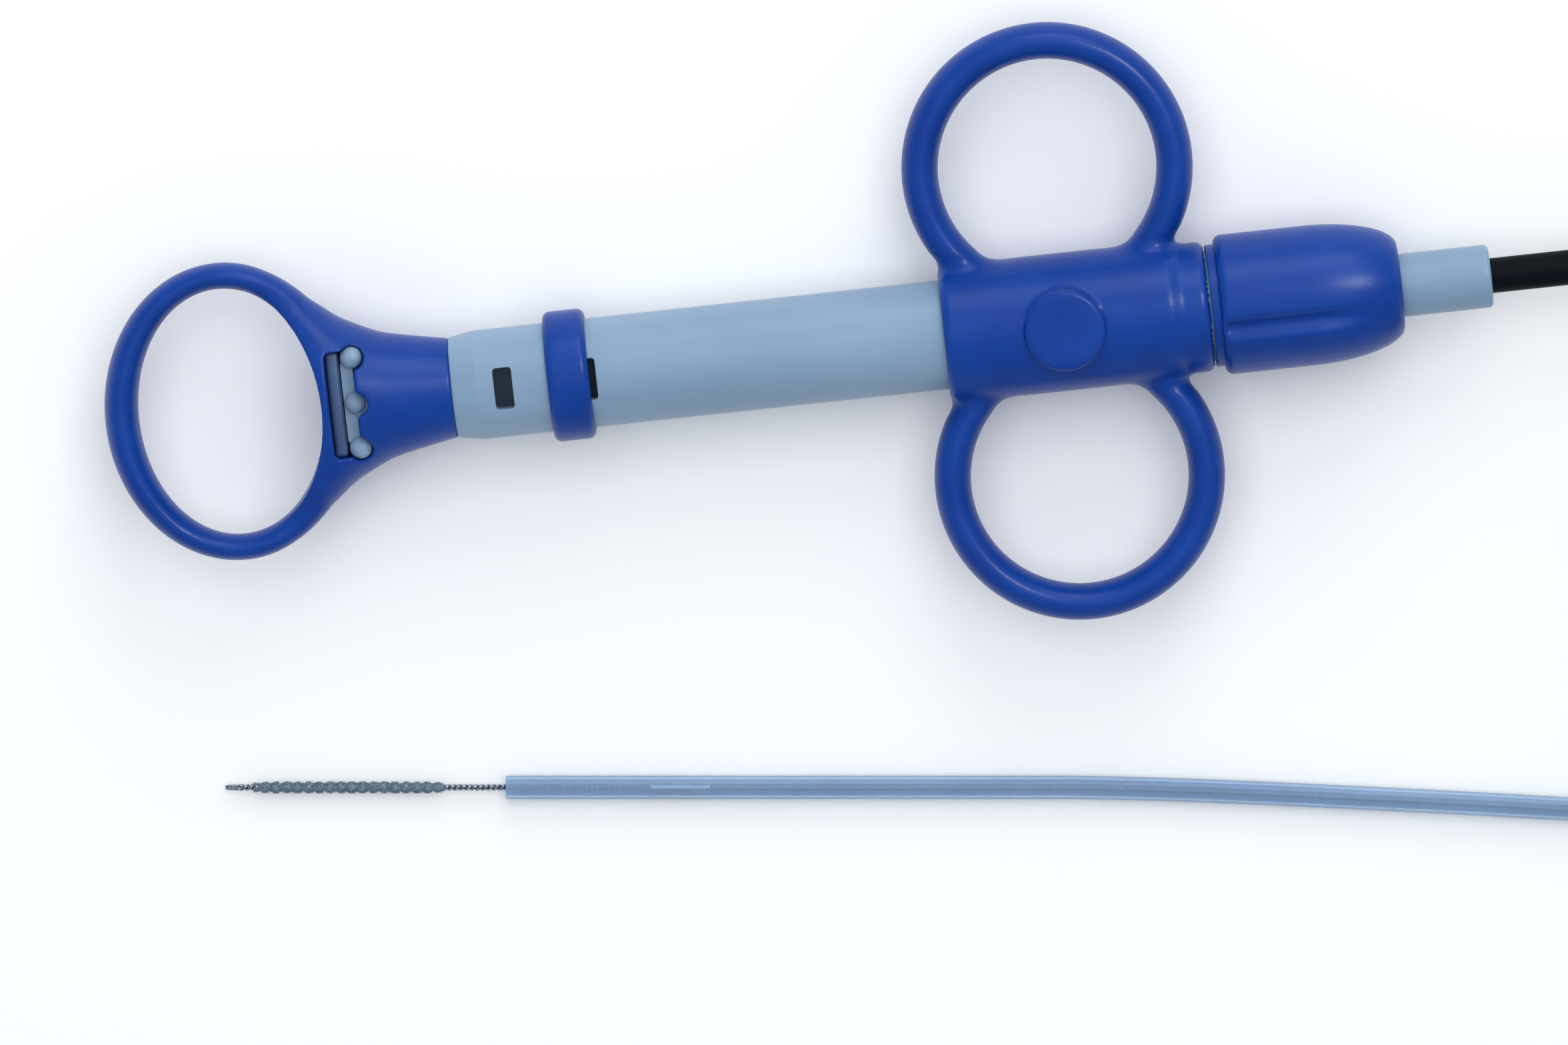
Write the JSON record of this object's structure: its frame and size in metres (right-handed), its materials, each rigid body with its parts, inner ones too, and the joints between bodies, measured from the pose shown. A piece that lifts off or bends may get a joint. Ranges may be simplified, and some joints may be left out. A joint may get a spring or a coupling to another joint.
{
  "type": "cytology brush",
  "caption": "Sheathed cytology brush: a slim bristle brush on a wire in a long plastic sheath, worked by a thumb-ring handle with a sliding finger spool.",
  "frame": {"origin": "middle of the flat face of the back boss cap, which the handle rests on; the finger rings' centre line passes through it", "axes": "+X along the handle towards the sheath's exit, +Y across the finger rings, away from the sheath's free end, +Z out of the handle's front face"},
  "size_m": [0.1924, 0.0895, 0.0152],
  "materials": {
    "blue_plastic": "satin moulded, mid blue",
    "pale_plastic": "satin moulded, pale blue, slightly translucent",
    "black_plastic": "matt black sleeve",
    "sheath_plastic": "smooth extruded, translucent pale blue",
    "seal_rubber": "dark grey rubber",
    "grey_steel": "dull grey metal",
    "bright_steel": "drawn stainless steel",
    "bristle_nylon": "fine pale nylon bristles"
  },
  "bodies": {
    "handle": {"thumb_ring": "blue_plastic", "guide_tube": "pale_plastic", "tail_key": "grey_steel", "stop_ring": "blue_plastic", "front_bush": "pale_plastic", "seal_ring": "seal_rubber", "nose_hub": "pale_plastic", "collet_nut": "blue_plastic", "sheath_ferrule": "bright_steel", "sheath_root": "sheath_plastic", "strain_relief": "black_plastic", "sheath_lead": "sheath_plastic", "sheath_coil": "sheath_plastic", "sheath_run": "sheath_plastic", "sheath_tip": "sheath_plastic"},
    "spool": {"finger_spool": "blue_plastic", "boss_cap_front": "blue_plastic", "boss_cap_back": "blue_plastic", "wire_carrier": "pale_plastic", "clamp_screw": "bright_steel", "pull_tube": "bright_steel", "drive_wire": "bright_steel", "wire_end_crimp": "grey_steel"},
    "brush": {"brush_stem": "bright_steel", "brush_bristles": "bristle_nylon", "brush_sleeve": "grey_steel"}
  },
  "joints": [
    {"name": "spool_slide", "type": "slide", "parent": "handle", "child": "spool", "axis": [-1, 0, 0], "range_m": [0, 0.0345]},
    {"name": "brush_slide", "type": "slide", "parent": "handle", "child": "brush", "axis": [0.9942, -0.108, 0], "range_m": [0, 0.0345]}
  ],
  "couplings": [
    {"joint": "brush_slide", "follows": "spool_slide", "ratio": 1}
  ]
}
